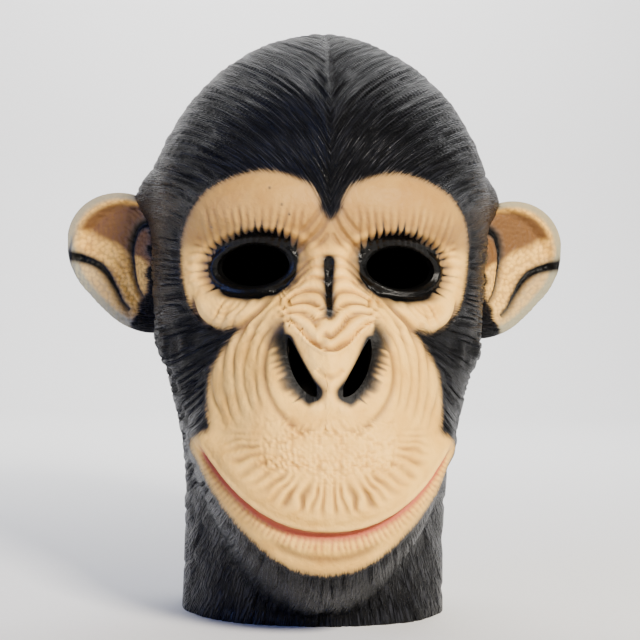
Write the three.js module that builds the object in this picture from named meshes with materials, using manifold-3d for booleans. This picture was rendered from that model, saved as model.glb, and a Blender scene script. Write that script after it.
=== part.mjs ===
// A full-head chimpanzee mask, slush-cast in one piece from latex.
// It is a hollow skin: a hair-textured cranium and beard, a bare face with brow ridges, deep eye sockets,
// a broad muzzle with a smiling mouth, and two large cupped ears. It is open at the neck, the eyes and the nostrils.
// Millimetres, +Z up. The mask stands on its neck rim, with the face towards -Y and the wearer's left at +X.
import * as THREE from "three";
import { mergeVertices } from "three/addons/utils/BufferGeometryUtils.js";
import Module from "manifold-3d";

// Driving dimensions of the head
const height = 316; // neck rim to crown
const headWidth = 184; // over the temples, without the ears
const faceReach = 108; // ear axis to the forehead
const headBack = 113; // ear axis to the back of the head
const muzzleReach = 136; // ear axis to the front of the upper lip
const muzzleWidth = 140;
const wall = 2.4; // latex skin
const reliefDepth = 9; // height of the boldest modelling, such as the brow ridges

// Driving dimensions of the face
const eyeSpacing = 72.5; // centre to centre
const eyeHeight = 183;
const eyeHoleWidth = 35;
const eyeHoleHeight = 20;
const noseHeight = 136;
const noseWidth = 62;
const nostrilOut = 0.234; // from the mid-line to the middle of each nostril, a share of noseWidth
const nostrilLength = 30;
const nostrilWidth = 7.5;
const nostrilLean = 0.55; // radians from the vertical, top outwards
const mouthHeight = 58; // neck rim to the mouth line at its middle
const mouthWidth = 122; // corner to corner
const mouthRise = 38; // how far the corners lie over the middle
const mouthCurve = 2.2; // exponent of the mouth line's rise

// Driving dimensions of the ears
const earReach = 47; // how far each ear stands out past the side of the head
const earCentreBack = 10; // behind the ear axis
const earHeight = 187;
const earHalfWidth = 43;
const earHalfHeight = 38.5;
const earThickness = 5;
const earDish = 9; // how far the rim stands in front of the middle
const earSweep = 0.42; // radians that the ears turn back
const earMound = 10; // swelling of the scalp over the root of each ear
const earSkew = 0.07; // how much fuller the upper outer quarter of an ear is than a plain oval

// How finely the skin is drawn
const outerRows = 52;
const outerColumns = 68;
const innerRows = 32;
const innerColumns = 40;
const columnCrowding = 0.42; // how much closer together the columns are on the face than at the back
const domeFineness = 0.6; // how close together the rows are over the cranium, where 1 is the face
const mouthFineness = 1.6; // and how close from the upper lip down
const faceWeight = 0.7; // share of the face, against the side, in spacing the rows
const earSpokes = 24;
const earRings = 5;

// Modelling inside an ear, in shares of its half sizes, and of earDish where it is a height
const dishFloor = 0.45;
const lobeRise = 0.75;
const lobeIn = 0.22;
const lobeDown = 0.1;
const lobeHalfOut = 0.26;
const lobeHalfUp = 0.5;
const lappetRise = 0.3;
const lappetStart = 0.36;
const lappetRamp = 0.16;
const lappetRim = 0.85;
const lappetLean = 0.72; // radians below the horizontal, the way the lappet points
const edgeRounding = 6; // exponent of the rounding of the ear's edge
const ringSpread = 0.8; // exponent that draws the ear's rings towards its edge

// Turns a table of plain rows into rows whose values are called by the names of their columns
function table(columns, rows) {
  return rows.map((row) => Object.fromEntries(columns.map((name, i) => [name, row[i]])));
}

// Level rings of the plain head, from the crown to the neck rim. faceZ and sideZ are the ring's height at the mid-line
// of the face and at the side, as shares of height. centre and back are shares of headBack, front is a share of
// faceReach, side of half headWidth, jowl of half muzzleWidth and muzzle of muzzleReach.
const sections = table(
  ["name", "faceZ", "sideZ", "centre", "front", "side", "back", "jowl", "muzzle"],
  [
    ["crown", 1, 1, 0.09, -0.094, 0, 0.09, 0, 0],
    ["upper crown", 0.978, 0.984, 0.09, 0.24, 0.265, 0.38, 0, 0],
    ["lower crown", 0.944, 0.951, 0.085, 0.48, 0.485, 0.6, 0, 0],
    ["upper dome", 0.905, 0.908, 0.07, 0.66, 0.668, 0.76, 0, 0],
    ["lower dome", 0.852, 0.853, 0.05, 0.81, 0.826, 0.88, 0, 0],
    ["forehead", 0.791, 0.791, 0.03, 0.91, 0.938, 0.955, 0, 0],
    ["hairline", 0.722, 0.726, 0, 0.965, 0.99, 0.99, 0, 0],
    ["brow", 0.655, 0.667, 0, 0.985, 1, 1, 0, 0],
    ["eyes", 0.59, 0.62, 0, 0.94, 1, 0.995, 0, 0],
    ["bridge", 0.53, 0.578, 0, 0.92, 0.993, 0.98, 0.45, 0.65],
    ["nose top", 0.475, 0.538, 0, 0.88, 0.985, 0.955, 0.72, 0.81],
    ["nose tip", 0.405, 0.5, 0, 0.84, 0.975, 0.92, 0.84, 0.91],
    ["upper lip", 0.32, 0.46, 0, 0.8, 0.95, 0.88, 0.92, 0.965],
    ["lip edge", 0.235, 0.425, 0, 0.77, 0.9, 0.84, 0.96, 0.985],
    ["mouth", 0.171, 0.386, 0, 0.74, 0.855, 0.805, 0.95, 0.905],
    ["lower lip", 0.125, 0.31, 0, 0.7, 0.805, 0.75, 0.86, 0.865],
    ["chin", 0.08, 0.225, 0, 0.65, 0.785, 0.71, 0.68, 0.76],
    ["jaw", 0.045, 0.14, 0, 0.6, 0.775, 0.68, 0.52, 0.61],
    ["throat", 0.02, 0.06, 0, 0.56, 0.775, 0.67, 0.3, 0.4],
    ["neck rim", 0, 0, 0, 0.55, 0.78, 0.67, 0, 0],
  ],
);
const rowOf = (name) => sections.findIndex((ring) => ring.name === name);
const crownRow = rowOf("lower dome");
const browRow = rowOf("brow");
const lipRow = rowOf("upper lip");
const mouthRow = rowOf("mouth");
const headSquareness = 2.2; // exponent of the rings of the head, where 2 is an ellipse
const muzzleSquareness = 2.7;
const muzzleBlend = 9; // sharpness of the fold where the muzzle leaves the cheeks
const cheekTurn = 0.4; // cosine of the turn where the muzzle has wholly parted from the side of the head

// Lumps and hollows that are modelled on the plain head, each of them mirrored. out and up are measured from the eye
// or the nose, and with halfOut and halfUp are shares of eyeHoleWidth or noseWidth; lift is a share of reliefDepth;
// lean turns the lump, in radians, with its top towards the mid-line; edge above 1 makes its flanks steeper.
// A deep one shapes the inside of the skin too.
const lumps = table(
  ["name", "at", "out", "up", "halfOut", "halfUp", "lift", "lean", "edge", "deep"],
  [
    ["brow ridge", "eye", 0.05, 0.82, 0.95, 0.44, 0.85, -0.1, 1.6, true],
    ["socket", "eye", 0, 0, 0.78, 0.45, -0.95, 0, 1.5, true],
    ["pouch", "eye", 0.24, -0.62, 0.78, 0.26, 0.5, 0.15, 1.3, true],
    ["frown", "nose", 0, 1.12, 0.15, 0.26, 0.15, 0, 1, false],
    ["bridge", "nose", 0, 0.57, 0.2, 0.42, 0.5, 0, 1, true],
    ["nose tip", "nose", 0, 0, 0.2, 0.24, 0.5, 0, 1.3, true],
    ["wing top", "nose", 0.3, 0.36, 0.18, 0.12, 0.35, 0.4, 1, false],
    ["wing side", "nose", 0.42, -0.12, 0.13, 0.3, 0.3, 0.3, 1, false],
    ["nostril", "nose", nostrilOut, 0, 0.13, 0.3, -0.35, -nostrilLean, 1.6, true],
    ["nose mound", "nose", 0, 0.02, 0.5, 0.5, 0.28, 0, 3, true],
    ["lip corner", "nose", 0.98, -0.6, 0.13, 0.2, 0.4, 0.4, 1.2, true],
  ],
);
const lipSwell = 0.3; // share of reliefDepth that each lip stands out
const lipSpread = 8.5; // distance from the mouth line to the middle of a lip, and the lip's half thickness
const mouthDepth = 0.28; // depth of the groove between the lips, a share of reliefDepth
const mouthSpread = 3.6; // half width of that groove
const mouthDepthInside = 0.24; // the same groove on the inside of the skin, where it is shallower and wider
const mouthSpreadInside = 5.8;
const faceFront = 0.4; // share of faceReach in front of the ear axis where the face's modelling has its full height
const faceEnd = 0.1; // share of faceReach behind it where that modelling has faded out
const moundRise = 0.95; // middle of the ear's mound over the middle of the ear, a share of earHalfHeight
const moundTall = 0.35; // half height of the mound, a share of earHalfHeight
const moundLong = 0.6; // half length of the mound from front to back, a share of earHalfWidth
const moundInner = 0.2; // distance from the mid-line where the mound starts to rise, a share of headWidth
const moundOuter = 0.45; // and where it has its full height

// Catmull-Rom spline through a column of the sections, at a row number that need not be whole. Each end is carried
// on by a mirror image of the row next to it, and over the crown that closes the dome smoothly.
function column(name, row) {
  const last = sections.length - 1;
  const k = Math.min(Math.max(Math.floor(row), 0), last - 1);
  const f = row - k;
  const mirrored = (end, next) => 2 * sections[end][name] - sections[next][name];
  const value = (i) => {
    if (i < 0) return name.endsWith("Z") ? sections[1][name] : mirrored(0, 1);
    return i > last ? mirrored(last, last - 1) : sections[i][name];
  };
  const [a, b, c, d] = [value(k - 1), value(k), value(k + 1), value(k + 2)];
  const square = 2 * a - 5 * b + 4 * c - d;
  const cube = 3 * b - 3 * c + d - a;
  return (2 * b + (c - a) * f + square * f ** 2 + cube * f ** 3) / 2;
}

// 0 below the first number, 1 above the second, and a smooth S between
function step(low, high, value) {
  const q = Math.min(Math.max((value - low) / (high - low), 0), 1);
  return q * q * (3 - 2 * q);
}

// A point of the plain head: turn is the angle round from the face, row the section's number
function plainPoint(turn, row) {
  const centre = column("centre", row) * headBack;
  const front = Math.max(column("front", row) * faceReach + centre, 1e-6);
  const side = Math.max((column("side", row) * headWidth) / 2, 1e-6);
  const back = Math.max(column("back", row) * headBack - centre, 1e-6);
  const jowl = Math.max((column("jowl", row) * muzzleWidth) / 2, 1e-3);
  const muzzle = Math.max(column("muzzle", row) * muzzleReach, 1e-3);
  const ahead = Math.max(Math.cos(turn), 0);
  const behind = Math.max(-Math.cos(turn), 0);
  const across = Math.abs(Math.sin(turn));
  const n = headSquareness;
  const m = muzzleSquareness;
  const head = ((ahead / front) ** n + (behind / back) ** n + (across / side) ** n) ** (-1 / n);
  const lobe = ((ahead / muzzle) ** m + (across / jowl) ** m) ** (-1 / m) * step(0, cheekTurn, ahead);
  const reach = (head ** muzzleBlend + lobe ** muzzleBlend) ** (1 / muzzleBlend);
  return new THREE.Vector3(reach * Math.sin(turn), centre - reach * Math.cos(turn), ringHeight(turn, row));
}

// Height of a ring: it hangs lower at the mid-line of the face than at the side
function ringHeight(turn, row) {
  const ahead = Math.max(Math.cos(turn), 0) ** 2;
  return (column("faceZ", row) * ahead + column("sideZ", row) * (1 - ahead)) * height;
}

// Outward direction of the plain head at a point
function plainNormal(turn, row) {
  const e = 1e-3;
  const low = Math.max(row - e, 1e-4);
  const high = Math.min(row + e, sections.length - 1);
  const round = plainPoint(turn + e, row).sub(plainPoint(turn - e, row));
  const down = plainPoint(turn, high).sub(plainPoint(turn, low));
  return round.cross(down).negate().normalize();
}

// How far the modelling stands off the plain head at a point
function relief(point, inside) {
  const out = Math.abs(point.x);
  let lift = 0;
  for (const lump of lumps) {
    if (inside && !lump.deep) continue;
    const onEye = lump.at === "eye";
    const unit = onEye ? eyeHoleWidth : noseWidth;
    const dx = out - (onEye ? eyeSpacing / 2 : 0) - lump.out * unit;
    const dz = point.z - (onEye ? eyeHeight : noseHeight) - lump.up * unit;
    const a = (dx * Math.cos(lump.lean) + dz * Math.sin(lump.lean)) / (lump.halfOut * unit);
    const b = (-dx * Math.sin(lump.lean) + dz * Math.cos(lump.lean)) / (lump.halfUp * unit);
    lift += lump.lift * reliefDepth * Math.exp(-((a * a + b * b) ** lump.edge));
  }
  lift += lipRelief(out, point.z, inside);
  lift *= step(faceEnd * faceReach, -faceFront * faceReach, point.y);
  return lift + earMound * moundShare(point);
}

// The two lips and the groove between them
function lipRelief(out, z, inside) {
  const over = z - mouthHeight - mouthRise * ((2 * out) / mouthWidth) ** mouthCurve;
  const bell = (middle, spread) => Math.exp(-(((over - middle) / spread) ** 2));
  const lips = lipSwell * (bell(lipSpread, lipSpread) + bell(-lipSpread, lipSpread));
  const groove = inside ? mouthDepthInside * bell(0, mouthSpreadInside) : mouthDepth * bell(0, mouthSpread);
  const past = out - mouthWidth / 2;
  return (lips - groove) * reliefDepth * step(lipSpread / 2, -lipSpread, past);
}

// The swelling over the root of an ear, 1 at its highest
function moundShare(point) {
  const up = (point.z - earHeight - moundRise * earHalfHeight) / (moundTall * earHalfHeight);
  const along = (point.y - earCentreBack) / (moundLong * earHalfWidth);
  const sideways = step(moundInner * headWidth, moundOuter * headWidth, Math.abs(point.x));
  return Math.exp(-(up * up) - along * along) * sideways;
}

// How close together the rows are at a row: wide apart over the cranium, close from the upper lip down
function fineness(row) {
  const dome = (1 - domeFineness) * step(browRow, crownRow, row);
  return 1 - dome + (mouthFineness - 1) * step(lipRow, mouthRow, row);
}

// Row numbers spaced along the face and the side together
function rowNumbers(count) {
  const fine = 1200;
  const last = sections.length - 1;
  const reached = [0];
  for (let i = 1; i <= fine; i++) {
    const was = ((i - 1) / fine) * last;
    const now = (i / fine) * last;
    const face = plainPoint(0, now).distanceTo(plainPoint(0, was));
    const side = plainPoint(Math.PI / 2, now).distanceTo(plainPoint(Math.PI / 2, was));
    reached.push(reached[i - 1] + (faceWeight * face + (1 - faceWeight) * side) * fineness(now));
  }
  const rows = [];
  for (let i = 1, k = 0; i <= count; i++) {
    const wanted = (i / count) * reached[fine];
    while (k < fine && reached[k] < wanted) k++;
    rows.push((k / fine) * last);
  }
  return rows;
}

// Angles round the head, closer together on the face
function turns(count) {
  return Array.from({ length: count }, (_, i) => {
    const u = (2 * i) / count - 1;
    return Math.PI * ((1 - columnCrowding) * u + columnCrowding * u ** 3);
  });
}

// A closed solid from rings of points: a pole on top, and a flat cap under the last ring
function closedDome(pole, rings) {
  const count = rings[0].length;
  const points = [pole, ...rings.flat()];
  const at = (r, c) => 1 + r * count + (c % count);
  const faces = [];
  for (let c = 0; c < count; c++) faces.push(0, at(0, c), at(0, c + 1));
  for (let r = 0; r + 1 < rings.length; r++)
    for (let c = 0; c < count; c++) {
      faces.push(at(r, c), at(r + 1, c), at(r + 1, c + 1));
      faces.push(at(r, c), at(r + 1, c + 1), at(r, c + 1));
    }
  const bottom = rings[rings.length - 1];
  const middle = bottom.reduce((sum, p) => sum.add(p), new THREE.Vector3()).divideScalar(count);
  points.push(middle);
  const lowest = rings.length - 1;
  for (let c = 0; c < count; c++) faces.push(points.length - 1, at(lowest, c + 1), at(lowest, c));
  return geometryOf(points, faces);
}

function geometryOf(points, faces) {
  const geometry = new THREE.BufferGeometry().setFromPoints(points);
  geometry.setIndex(faces);
  return geometry;
}

// The outside of the skin, as a solid head
function outerHead() {
  const rings = rowNumbers(outerRows).map((row) =>
    turns(outerColumns).map((turn) => {
      const point = plainPoint(turn, row);
      const lift = relief(point, false);
      const moved = plainNormal(turn, row).multiplyScalar(lift).add(point);
      return row === sections.length - 1 ? moved.setZ(0) : moved;
    }),
  );
  return closedDome(plainPoint(0, 0), rings);
}

// The hollow that the wearer's head fills, taken down past the neck rim
function headHollow() {
  const past = 10;
  const rings = rowNumbers(innerRows).map((row) =>
    turns(innerColumns).map((turn) => {
      const point = plainPoint(turn, row);
      const lift = relief(point, true) - wall;
      return plainNormal(turn, row).multiplyScalar(lift).add(point);
    }),
  );
  const rim = rings[rings.length - 1];
  rings.push(rim.map((p) => new THREE.Vector3(p.x, p.y, -past)));
  const pole = plainPoint(0, 0).sub(new THREE.Vector3(0, 0, wall));
  return closedDome(pole, rings);
}

// Height of an ear's front over its own flat plane at a place in it: out and up are shares of the half sizes. The
// dish rises with the square of the distance. The oval lobe stands by the root, and the lappet low on the outside.
function earFront(out, up) {
  const reach = Math.hypot(out, up);
  const dish = reach ** 2 - dishFloor;
  const lobe = Math.exp(-(((out + lobeIn) / lobeHalfOut) ** 2) - ((up + lobeDown) / lobeHalfUp) ** 2);
  const outwardsDown = out * Math.cos(lappetLean) - up * Math.sin(lappetLean);
  const lappet = step(lappetStart, lappetStart + lappetRamp, outwardsDown) * step(1, lappetRim, reach);
  return earDish * (dish + lobeRise * lobe + lappetRise * lappet);
}

// One ear as a closed dish, in its own plane: x outwards from the head, y up, z forwards
function earSolid() {
  const rings = [];
  const outline = (angle) => 1 + earSkew * Math.sin(2 * angle);
  const place = (share, angle, front) => {
    const out = share * outline(angle) * Math.cos(angle);
    const up = share * outline(angle) * Math.sin(angle);
    const rounding = Math.sqrt(Math.max(1 - share ** edgeRounding, 0));
    const z = earFront(out, up) - (earThickness / 2) * (1 + (front ? -rounding : rounding));
    return new THREE.Vector3(out * earHalfWidth, up * earHalfHeight, z);
  };
  const quarterTurn = (i) => ((i + 1) / earRings) * (Math.PI / 2);
  const shares = Array.from({ length: earRings }, (_, i) => Math.sin(quarterTurn(i)) ** ringSpread);
  const ringOf = (share, front) =>
    Array.from({ length: earSpokes }, (_, k) => place(share, (2 * Math.PI * k) / earSpokes, front));
  for (const share of shares) rings.push(ringOf(share, true));
  for (const share of shares.slice(0, -1).reverse()) rings.push(ringOf(share, false));
  const points = [place(0, 0, true), ...rings.flat(), place(0, 0, false)];
  const at = (r, c) => 1 + r * earSpokes + (c % earSpokes);
  const faces = [];
  for (let c = 0; c < earSpokes; c++) faces.push(0, at(0, c), at(0, c + 1));
  for (let r = 0; r + 1 < rings.length; r++)
    for (let c = 0; c < earSpokes; c++) {
      faces.push(at(r, c), at(r + 1, c), at(r + 1, c + 1));
      faces.push(at(r, c), at(r + 1, c + 1), at(r, c + 1));
    }
  const lowest = rings.length - 1;
  for (let c = 0; c < earSpokes; c++) faces.push(points.length - 1, at(lowest, c + 1), at(lowest, c));
  return geometryOf(points, faces);
}

// Stands an ear at its place beside the head; side is 1 for +X and -1 for -X
function placedEar(side) {
  const outwards = new THREE.Vector3(Math.cos(earSweep), Math.sin(earSweep), 0);
  const forwards = new THREE.Vector3(Math.sin(earSweep), -Math.cos(earSweep), 0);
  const frame = new THREE.Matrix4().makeBasis(outwards, new THREE.Vector3(0, 0, 1), forwards);
  const centreOut = headWidth / 2 + earReach - earHalfWidth * Math.cos(earSweep);
  frame.setPosition(centreOut, earCentreBack, earHeight);
  const ear = earSolid().applyMatrix4(frame);
  return side > 0 ? ear : ear.applyMatrix4(new THREE.Matrix4().makeScale(-1, 1, 1));
}

// A straight cutter with an oval outline, running from in front of the face to inside the head
function ovalCutter(out, up, width, tall, lean) {
  const shape = new THREE.Shape();
  shape.absellipse(out, up, width / 2, tall / 2, 0, Math.PI * 2, false, -lean);
  const depth = muzzleReach;
  const cutter = new THREE.ExtrudeGeometry(shape, { depth, bevelEnabled: false, curveSegments: 24 });
  cutter.rotateX(Math.PI / 2); // the outline now lies in x and z, and the cutter runs towards -Y
  return cutter.translate(0, -faceReach / 2, 0);
}

const wasm = await Module();
wasm.setup();

// A closed three.js geometry as a solid that can be joined and cut
function solidOf(geometry) {
  const bare = geometry.clone();
  for (const name of Object.keys(bare.attributes)) if (name !== "position") bare.deleteAttribute(name);
  const merged = mergeVertices(bare, 1e-4);
  const vertProperties = new Float32Array(merged.attributes.position.array);
  const triVerts = new Uint32Array(merged.index.array);
  const made = new wasm.Manifold(new wasm.Mesh({ numProp: 3, vertProperties, triVerts }));
  if (made.volume() > 0) return made;
  for (let i = 0; i < triVerts.length; i += 3) {
    [triVerts[i + 1], triVerts[i + 2]] = [triVerts[i + 2], triVerts[i + 1]];
  }
  return new wasm.Manifold(new wasm.Mesh({ numProp: 3, vertProperties, triVerts }));
}

function maskSkin() {
  let skin = solidOf(outerHead());
  for (const side of [-1, 1]) skin = skin.add(solidOf(placedEar(side)));
  skin = skin.subtract(solidOf(headHollow()));
  for (const side of [-1, 1]) {
    const eye = ovalCutter((side * eyeSpacing) / 2, eyeHeight, eyeHoleWidth, eyeHoleHeight, 0);
    skin = skin.subtract(solidOf(eye));
    const out = side * nostrilOut * noseWidth;
    const nostril = ovalCutter(out, noseHeight, nostrilWidth, nostrilLength, side * nostrilLean);
    skin = skin.subtract(solidOf(nostril));
  }
  const mesh = skin.getMesh();
  const geometry = new THREE.BufferGeometry();
  geometry.setAttribute("position", new THREE.BufferAttribute(mesh.vertProperties, 3));
  geometry.setIndex(new THREE.BufferAttribute(mesh.triVerts, 1));
  geometry.computeVertexNormals();
  return geometry;
}

const latex = new THREE.MeshStandardMaterial({ color: 0xd9b98c, roughness: 0.55, metalness: 0 });
const skin = maskSkin();

// The origin is the middle of the mask's box, on the neck rim
skin.computeBoundingBox();
const box = skin.boundingBox;
skin.translate(0, -(box.min.y + box.max.y) / 2, 0);

const mask = new THREE.Group();
const shell = new THREE.Mesh(skin, latex);
shell.name = "mask_skin";
mask.add(shell);

export default mask;
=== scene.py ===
# %% [markdown]
# A chimpanzee mask, cast in latex
#
# The real object is one skin of latex, a little over 2 mm thick, that was slush-cast in a plaster mould:
# the maker pours liquid latex in, waits, and pours it out again. Then it is airbrushed. So nothing here
# is assembled. One surface runs from the crown over the face and down to the neck rim, the ears grow out
# of it, and hair, wrinkles and pores are all relief in that one surface.
#
# A sculptor could model it with brushes. Here it is written as functions instead: a plain head from a
# table of level rings, then layers of relief, each a formula in millimetres. That keeps every feature
# named, and easy to move.

import bpy
import numpy as np
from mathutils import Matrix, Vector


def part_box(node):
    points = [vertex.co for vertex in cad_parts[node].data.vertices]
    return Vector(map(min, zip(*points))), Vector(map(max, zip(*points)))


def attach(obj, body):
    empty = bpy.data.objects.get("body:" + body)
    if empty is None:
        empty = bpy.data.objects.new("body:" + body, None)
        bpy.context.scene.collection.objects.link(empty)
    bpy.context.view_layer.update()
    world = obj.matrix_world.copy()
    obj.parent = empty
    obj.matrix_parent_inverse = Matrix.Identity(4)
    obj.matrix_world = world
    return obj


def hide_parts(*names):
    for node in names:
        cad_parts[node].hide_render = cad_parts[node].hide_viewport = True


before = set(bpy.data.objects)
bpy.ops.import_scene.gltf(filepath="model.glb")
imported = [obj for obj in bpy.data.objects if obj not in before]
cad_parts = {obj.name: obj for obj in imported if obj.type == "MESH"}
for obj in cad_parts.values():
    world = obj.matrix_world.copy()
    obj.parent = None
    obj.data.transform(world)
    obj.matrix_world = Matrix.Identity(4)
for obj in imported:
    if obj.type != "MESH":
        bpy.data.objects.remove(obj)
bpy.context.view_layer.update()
MM = 0.001  # the form is worked out in millimetres, and Blender's unit is the metre
low, high = (np.array(corner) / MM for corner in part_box("mask_skin"))
print("the mask's box in mm:", (high - low).round(1))

# %% [markdown]
# The plain head
#
# A head could be a sphere pushed into shape, but then no number in it means anything. Level rings are
# easier to read: each row of the table is one ring, with its height and how far it reaches to the front,
# the side and the back. A smooth spline runs down each column. The muzzle is a second, narrower set of
# rings in front, and the two are joined with a high power mean, which leaves a soft fold where the muzzle
# leaves the cheeks.

# %% Sizes and rings of the plain head
HEIGHT = high[2] - low[2]
HEAD_WIDTH = 184.0
FACE_REACH = 108.0
HEAD_BACK = 113.0
MUZZLE_REACH = 136.0
MUZZLE_WIDTH = 140.0
WALL = 2.4
EAR_REACH = 47.0

COLUMNS = ["face_z", "side_z", "centre", "front", "side", "back", "jowl", "muzzle"]
RINGS = np.array([
    [1, 1, 0.09, -0.094, 0, 0.09, 0, 0],  # crown
    [0.978, 0.984, 0.09, 0.24, 0.265, 0.38, 0, 0],
    [0.944, 0.951, 0.085, 0.48, 0.485, 0.6, 0, 0],
    [0.905, 0.908, 0.07, 0.66, 0.668, 0.76, 0, 0],
    [0.852, 0.853, 0.05, 0.81, 0.826, 0.88, 0, 0],
    [0.791, 0.791, 0.03, 0.91, 0.938, 0.955, 0, 0],  # forehead
    [0.722, 0.726, 0, 0.965, 0.99, 0.99, 0, 0],
    [0.655, 0.667, 0, 0.985, 1, 1, 0, 0],  # brow
    [0.59, 0.62, 0, 0.94, 1, 0.995, 0, 0],  # eyes
    [0.53, 0.578, 0, 0.92, 0.993, 0.98, 0.45, 0.65],
    [0.475, 0.538, 0, 0.88, 0.985, 0.955, 0.72, 0.81],
    [0.405, 0.5, 0, 0.84, 0.975, 0.92, 0.84, 0.91],  # nose
    [0.32, 0.46, 0, 0.8, 0.95, 0.88, 0.92, 0.965],
    [0.235, 0.425, 0, 0.77, 0.9, 0.84, 0.96, 0.985],
    [0.171, 0.386, 0, 0.74, 0.855, 0.805, 0.95, 0.905],  # mouth
    [0.125, 0.31, 0, 0.7, 0.805, 0.75, 0.86, 0.865],
    [0.08, 0.225, 0, 0.65, 0.785, 0.71, 0.68, 0.76],  # chin
    [0.045, 0.14, 0, 0.6, 0.775, 0.68, 0.52, 0.61],
    [0.02, 0.06, 0, 0.56, 0.775, 0.67, 0.3, 0.4],
    [0, 0, 0, 0.55, 0.78, 0.67, 0, 0],  # neck rim
])
LAST = len(RINGS) - 1
HEAD_SQUARENESS = 2.2
MUZZLE_SQUARENESS = 2.7
MUZZLE_BLEND = 9


def smooth(start, end, value):
    """0 at start, 1 at end, and the S-shaped curve 3q^2 - 2q^3 between."""
    q = np.clip((value - start) / (end - start), 0, 1)
    return q * q * (3 - 2 * q)


def spline(a, b, c, d, f):
    """Catmull-Rom spline: the share f of the way from b to c, whose neighbours are a and d."""
    return 0.5 * (2 * b + (c - a) * f + (2 * a - 5 * b + 4 * c - d) * f**2 + (3 * b - 3 * c + d - a) * f**3)


def ring(name, row):
    """Smooth spline down one column of the rings; past each end it goes on as a mirror image."""
    values = RINGS[:, COLUMNS.index(name)]
    before = values[1] if name.endswith("_z") else 2 * values[0] - values[1]
    values = np.concatenate([[before], values, [2 * values[-1] - values[-2]]])
    k = np.clip(np.floor(row).astype(int), 0, LAST - 1)
    return spline(*(values[k + i] for i in range(4)), row - k)


def plain_head(turn, row):
    """Point of the plain head. turn is the angle round from the face, row the ring's number. The reach is
    that of a superellipse, ((ahead / front)^n + (across / side)^n)^(-1/n), and head and muzzle are joined
    as a 9th-power mean."""
    centre = ring("centre", row) * HEAD_BACK
    front = np.maximum(ring("front", row) * FACE_REACH + centre, 1e-6)
    side = np.maximum(ring("side", row) * HEAD_WIDTH / 2, 1e-6)
    back = np.maximum(ring("back", row) * HEAD_BACK - centre, 1e-6)
    jowl = np.maximum(ring("jowl", row) * MUZZLE_WIDTH / 2, 1e-3)
    muzzle = np.maximum(ring("muzzle", row) * MUZZLE_REACH, 1e-3)
    ahead = np.maximum(np.cos(turn), 0)
    behind = np.maximum(-np.cos(turn), 0)
    across = np.abs(np.sin(turn))
    n, m, blend = HEAD_SQUARENESS, MUZZLE_SQUARENESS, MUZZLE_BLEND
    head = ((ahead / front) ** n + (behind / back) ** n + (across / side) ** n) ** (-1 / n)
    lobe = ((ahead / muzzle) ** m + (across / jowl) ** m) ** (-1 / m) * smooth(0, 0.4, ahead)
    reach = (head**blend + lobe**blend) ** (1 / blend)
    height = (ring("face_z", row) * ahead**2 + ring("side_z", row) * (1 - ahead**2)) * HEIGHT
    return np.stack([reach * np.sin(turn), centre - reach * np.cos(turn), height], -1)


def cross_normals(round_step, down_step):
    """Outward unit normals from the steps round the head and down it, as their cross product."""
    normals = np.cross(down_step, round_step)
    return normals / np.maximum(np.linalg.norm(normals, axis=-1, keepdims=True), 1e-9)


def plain_normals(turn, row):
    """Outward normals of the plain head, from differences a thousandth of a ring apart."""
    e = 1e-3
    round_step = plain_head(turn + e, row) - plain_head(turn - e, row)
    down_step = plain_head(turn, np.minimum(row + e, LAST)) - plain_head(turn, np.maximum(row - e, 1e-4))
    return cross_normals(round_step, down_step)


SHIFT = high[1] - HEAD_BACK  # from the ear axis to the middle of the box
print("the form's ear axis lies", round(SHIFT, 1), "mm behind the middle of the box")

# %% [markdown]
# The large forms of the face
#
# A chimpanzee's face is soft folds round three hard things: the brow, the eye sockets and the muzzle.
# These are lumps and hollows on the plain head, each a bell curve. A sculptor would push clay about until
# it looks right. A table does the same, and each line of it can be named and measured. The inside of a
# real skin follows the deep forms and fills the shallow ones, so each line says whether the inside takes
# part.

# %% Lumps, lips and the mounds over the ears
RELIEF = 9.0
EYE_OUT = 36.25
EYE_HEIGHT = 183.0
EYE_WIDE = 35.0
EYE_TALL = 20.0
EYE_TILT = 0.07  # the outer corners lie a little lower
NOSE_HEIGHT = 136.0
NOSE_WIDTH = 62.0
NOSTRIL_OUT = 12.8
NOSTRIL_LONG = 30.0
NOSTRIL_WIDE = 7.2
NOSTRIL_LEAN = 0.46
MOUTH_HEIGHT = 58.0
MOUTH_RISE = 38.0
MOUTH_HALF = 61.0
LIP_REACH = 8.5
EAR_BACK = 10.0
EAR_HEIGHT = 187.0
EAR_WIDE = 43.0
EAR_TALL = 38.5
EAR_MOUND = 10.0
EYE = EYE_OUT, EYE_HEIGHT, EYE_WIDE
NOSE = 0, NOSE_HEIGHT, NOSE_WIDTH
NOSTRIL = NOSTRIL_OUT, NOSE_HEIGHT, NOSE_WIDTH
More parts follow.
